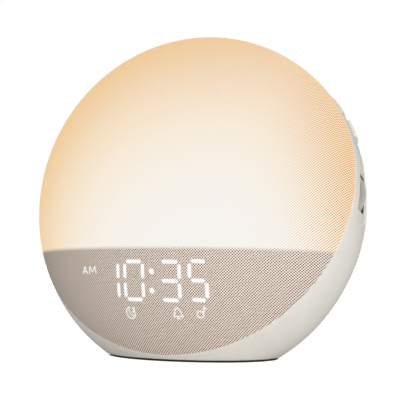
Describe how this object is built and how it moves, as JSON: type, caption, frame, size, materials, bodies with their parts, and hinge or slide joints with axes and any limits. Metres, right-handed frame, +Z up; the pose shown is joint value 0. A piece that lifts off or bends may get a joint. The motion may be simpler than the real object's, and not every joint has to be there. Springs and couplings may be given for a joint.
{
  "type": "sunrise alarm clock",
  "caption": "Round leaning bedside clock with a domed woven front that glows above a level horizon, a segment display below it, and a plastic rear shell with buttons, thumb dials and a speaker.",
  "frame": {"origin": "on the table under the middle of the round body", "axes": "-Y is the front with the display, +X is the right side seen from the front, +Z is up"},
  "size_m": [0.1788, 0.1152, 0.167],
  "materials": {
    "woven_cover": "fine two-tone plain weave, stretched, lit from behind above the horizon",
    "diffuser": "opal translucent moulding",
    "frame_plastic": "moulded, fine matt",
    "white_plastic": "white reflective moulding",
    "circuit_board_white": "white solder mask",
    "light_package": "phosphor window in a white package",
    "black_plastic": "black moulding",
    "clear_guide": "clear light guide with frosted ends",
    "circuit_board": "green solder mask",
    "steel": "zinc plated",
    "flat_cable": "white flat flexible cable",
    "chassis_plastic": "dark grey glass-filled moulding",
    "shell_plastic": "satin warm grey moulding",
    "button_plastic": "satin warm grey moulding",
    "dial_plastic": "satin warm grey moulding with grip ribs",
    "foot_rubber": "matt black rubber",
    "cast_weight": "rough cast",
    "encoder_metal": "stamped case",
    "basket_steel": "black painted steel",
    "cone_paper": "coated paper pulp",
    "surround_rubber": "soft rubber",
    "lead_jacket": "black insulated twin lead"
  },
  "bodies": {
    "housing": {"fabric_cover": "woven_cover", "diffuser_dome": "diffuser", "front_frame": "frame_plastic", "horizon_baffle": "white_plastic", "reflector_panel": "white_plastic", "led_board": "circuit_board_white", "sunrise_leds": "light_package", "display_housing": "black_plastic", "digit_light_guides": "clear_guide", "indicator_light_guides": "clear_guide", "display_leds": "light_package", "display_board": "circuit_board", "display_screws": "steel", "display_ribbon": "flat_cable", "chassis": "chassis_plastic", "frame_screws": "steel", "boss_screws": "steel", "main_board": "circuit_board", "main_board_parts": "black_plastic", "board_screws": "steel", "cell_holder": "black_plastic", "coin_cell": "steel", "rear_shell": "shell_plastic", "base_plate": "chassis_plastic", "base_screws": "steel", "rubber_foot": "foot_rubber", "ballast": "cast_weight", "power_board": "circuit_board", "power_inlet": "black_plastic", "key_boards": "circuit_board", "key_switches": "black_plastic", "encoders": "encoder_metal", "dial_brackets": "chassis_plastic", "bracket_screws": "steel", "speaker_basket": "basket_steel", "speaker_motor": "basket_steel", "speaker_surround": "surround_rubber", "speaker_gasket": "surround_rubber", "speaker_screws": "steel", "speaker_lead": "lead_jacket"},
    "snooze_bar": {"snooze_bar": "button_plastic"},
    "right_upper_button": {"right_upper_button": "button_plastic"},
    "right_lower_button": {"right_lower_button": "button_plastic"},
    "left_upper_button": {"left_upper_button": "button_plastic"},
    "left_lower_button": {"left_lower_button": "button_plastic"},
    "right_dial": {"right_dial": "dial_plastic", "right_dial_shaft": "steel"},
    "left_dial": {"left_dial": "dial_plastic", "left_dial_shaft": "steel"},
    "speaker_cone": {"speaker_cone": "cone_paper"}
  },
  "joints": [
    {"name": "snooze_bar_press", "type": "slide", "parent": "housing", "child": "snooze_bar", "axis": [0, -0.3256, -0.9455], "range_m": [0, 0.0006], "stiffness_N_per_m": 600, "springref_m": -0.0006},
    {"name": "right_upper_button_press", "type": "slide", "parent": "housing", "child": "right_upper_button", "axis": [-0.8526, -0.1701, -0.494], "range_m": [0, 0.0006], "stiffness_N_per_m": 600, "springref_m": -0.0006},
    {"name": "right_lower_button_press", "type": "slide", "parent": "housing", "child": "right_lower_button", "axis": [-0.8526, -0.1701, -0.494], "range_m": [0, 0.0006], "stiffness_N_per_m": 600, "springref_m": -0.0006},
    {"name": "left_upper_button_press", "type": "slide", "parent": "housing", "child": "left_upper_button", "axis": [0.8526, -0.1701, -0.494], "range_m": [0, 0.0006], "stiffness_N_per_m": 600, "springref_m": -0.0006},
    {"name": "left_lower_button_press", "type": "slide", "parent": "housing", "child": "left_lower_button", "axis": [0.8526, -0.1701, -0.494], "range_m": [0, 0.0006], "stiffness_N_per_m": 600, "springref_m": -0.0006},
    {"name": "right_dial_turn", "type": "hinge", "parent": "housing", "child": "right_dial", "pos_m": [0.0712, 0.00144, 0.08219], "axis": [0, 0.9455, -0.3256], "continuous": true},
    {"name": "left_dial_turn", "type": "hinge", "parent": "housing", "child": "left_dial", "pos_m": [-0.0712, 0.00144, 0.08219], "axis": [0, 0.9455, -0.3256], "continuous": true},
    {"name": "speaker_cone_stroke", "type": "slide", "parent": "housing", "child": "speaker_cone", "axis": [0, 0.9925, -0.1219], "range_m": [-0.0015, 0.0015], "stiffness_N_per_m": 800, "deforming": ["speaker_surround"]}
  ]
}
